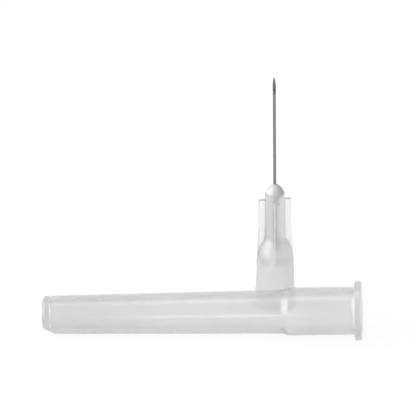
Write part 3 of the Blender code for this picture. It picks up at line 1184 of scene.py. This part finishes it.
@dataclass(frozen=True)
class SoftBox:
    """A soft rectangular lamp that looks at the object.

    Attributes:
        name: Name of the lamp.
        spot: Middle of the lamp, seen from the point that it looks at.
        width: Its level side.
        height: Its other side.
        radiance: Brightness of its face, where white paper is 1.
    """

    name: str
    spot: Triple
    width: float
    height: float
    radiance: float

    def add(self, aim: Vector) -> None:
        """Hangs the lamp up and turns it towards a point."""
        data = bpy.data.lights.new(self.name, "AREA")
        data.shape = "RECTANGLE"
        data.size = self.width
        data.size_y = self.height
        data.energy = self.radiance * math.pi * self.width * self.height
        lamp = bpy.data.objects.new(self.name, data)
        lamp.location = aim + Vector(self.spot)
        lamp.rotation_euler = Vector(self.spot).to_track_quat("Z", "Y").to_euler()
        lamp.visible_camera = False
        bpy.context.scene.collection.objects.link(lamp)


@dataclass
class Studio:
    """Camera, surroundings, lamps and table.

    Attributes:
        offset: From the needle's foot to the point that the middle of the picture shows.
        distance: From the camera to that point.
        elevation: How far the camera looks down.
        swing: How far the camera has gone round to the right.
        roll: Turn of the picture.
        lens: Focal length, in millimetres.
        sensor: Width of the sensor, in millimetres.
        bounces: How often light may bounce, enough for four walls of plastic one behind the other.
        shades: Shade of the surroundings by angle, in degrees from the front horizon over the top.
        sides: Shade of the surroundings from the left to the right, which the other is multiplied by.
        evenness: Share of white in what steel and plastics show of the surroundings.
        table_reach: Half the table's side.
        table_colour: Colour of the table.
        table_fill: Share of the table that glows, so that it lights the undersides evenly.
        table_glow: The same share as camera, steel and plastics show it; it leaves a faint shadow.
        lamps: The soft boxes.
    """

    offset: Triple = (-11.308 * MM, 0.0, 17.379 * MM)
    distance: float = 700.0 * MM
    elevation: float = math.radians(24.0)
    swing: float = math.radians(3.92)
    roll: float = math.radians(-0.695)
    lens: float = 358.65
    sensor: float = 36.0
    bounces: int = 40
    shades: Greys = ((0.0, 1.0), (32.0, 1.0), (46.0, 0.45), (130.0, 0.45), (165.0, 1.0))
    sides: Greys = ((-0.8, 1.0), (0.0, 0.85), (0.8, 0.6))
    evenness: float = 0.65
    table_reach: float = 3.0
    table_colour: Colour = (0.96, 0.96, 0.96)
    table_fill: float = 0.8
    table_glow: float = 0.93
    lamps: tuple[SoftBox, ...] = (
        SoftBox("left soft box", (-0.46, -0.16, 0.28), 0.80, 0.70, 3.1),
        SoftBox("overhead strip", (0.0, 0.0, 0.60), 1.00, 0.24, 1.4),
        SoftBox("front panel", (-0.055, -0.60, 0.045), 0.05, 0.08, 4.0),
    )

    def build(self, foot: Vector) -> None:
        """Sets up everything round the object.

        Args:
            foot: The needle's foot, on the table.
        """
        aim = foot + Vector(self.offset)
        self.add_camera(aim)
        self.light_world()
        self.add_table()
        for lamp in self.lamps:
            lamp.add(aim)
        scene = bpy.context.scene
        scene.view_settings.view_transform = "Standard"
        scene.cycles.max_bounces = self.bounces
        scene.cycles.transmission_bounces = self.bounces
        scene.cycles.volume_bounces = self.bounces

    def add_camera(self, aim: Vector) -> None:
        """Places the camera at the photograph's angle, looking at a point."""
        forward = Vector((
            -math.sin(self.swing) * math.cos(self.elevation),
            math.cos(self.swing) * math.cos(self.elevation),
            -math.sin(self.elevation),
        ))
        level = Vector((math.cos(self.swing), math.sin(self.swing), 0.0))
        upright = level.cross(forward)
        right = level * math.cos(self.roll) + upright * math.sin(self.roll)
        up = upright * math.cos(self.roll) - level * math.sin(self.roll)
        data = bpy.data.cameras.new("camera")
        data.sensor_width = self.sensor
        data.lens = self.lens
        data.clip_start = 1.0 * MM
        made = bpy.data.objects.new("camera", data)
        eye = aim - forward * self.distance
        axes = Matrix((right, up, -forward)).transposed().to_4x4()
        made.matrix_world = Matrix.Translation(eye) @ axes
        bpy.context.scene.collection.objects.link(made)
        bpy.context.scene.camera = made

    @staticmethod
    def rays(graph: Graph) -> tuple[Signal, Signal]:
        """Two signals: 1 for the camera's rays, and 1 for those that come off a gloss or through plastic."""
        camera, gloss, through = (graph.node("ShaderNodeLightPath", {}, {}, ray.value) for ray in Ray)
        return camera, gloss.at_least(through)

    def light_world(self) -> None:
        """White surroundings to the camera; they light the object from a pale horizon and a darker top."""
        world = bpy.data.worlds.new("studio")
        bpy.context.scene.world = world
        graph = Graph(world)
        direction = graph.node("ShaderNodeTexCoord", {}, {}, "Generated")
        x, y, z = (graph.node("ShaderNodeSeparateXYZ", {}, {0: direction}, axis) for axis in "XYZ")
        height = z.maths("ARCTAN2", z, y * -1.0)
        band = graph.ramp(height, tuple((math.radians(angle), grey) for angle, grey in self.shades))
        shade = graph.times(band, graph.ramp(x, self.sides))
        camera, passed = self.rays(graph)
        white = camera.at_least(passed * self.evenness)
        tone = graph.tint(white, shade, WHITE)
        background = graph.node("ShaderNodeBackground", {}, {"Color": tone, "Strength": 1.0}, "Background")
        graph.finish("ShaderNodeOutputWorld", surface=background)

    def add_table(self) -> None:
        """A wide white table that keeps a faint shadow."""
        mesh = bpy.data.meshes.new("table")
        reach = self.table_reach
        corners = [(-reach, -reach, 0.0), (reach, -reach, 0.0), (reach, reach, 0.0), (-reach, reach, 0.0)]
        mesh.from_pydata(corners, [], [(0, 1, 2, 3)])
        table = bpy.data.objects.new("table", mesh)
        bpy.context.scene.collection.objects.link(table)
        finish = bpy.data.materials.new("white table")
        graph = Graph(finish)
        matt = graph.node("ShaderNodeBsdfDiffuse", {}, {"Color": (*self.table_colour, 1.0)}, "BSDF")
        glow = graph.node("ShaderNodeEmission", {}, {"Color": (*WHITE, 1.0), "Strength": 1.0}, "Emission")
        camera, passed = self.rays(graph)
        share = camera.at_least(passed) * (self.table_glow - self.table_fill) + self.table_fill
        mixed = graph.node("ShaderNodeMixShader", {}, {0: share, 1: matt, 2: glow}, "Shader")
        graph.finish("ShaderNodeOutputMaterial", surface=mixed)
        mesh.materials.append(finish)


def main() -> None:
    """Builds the studio and every piece, and reports them."""
    logging.basicConfig(level=logging.INFO, format="%(message)s")
    place = Stand().place()
    Studio().build(place.translation)
    pieces = [Hub().build(place), AdhesiveDrop().build(place), Cannula().build(place), Sheath().build()]
    for piece in pieces:
        log.info("%s: %d faces", piece.name, len(piece.data.polygons))


if __name__ == "__main__":
    main()
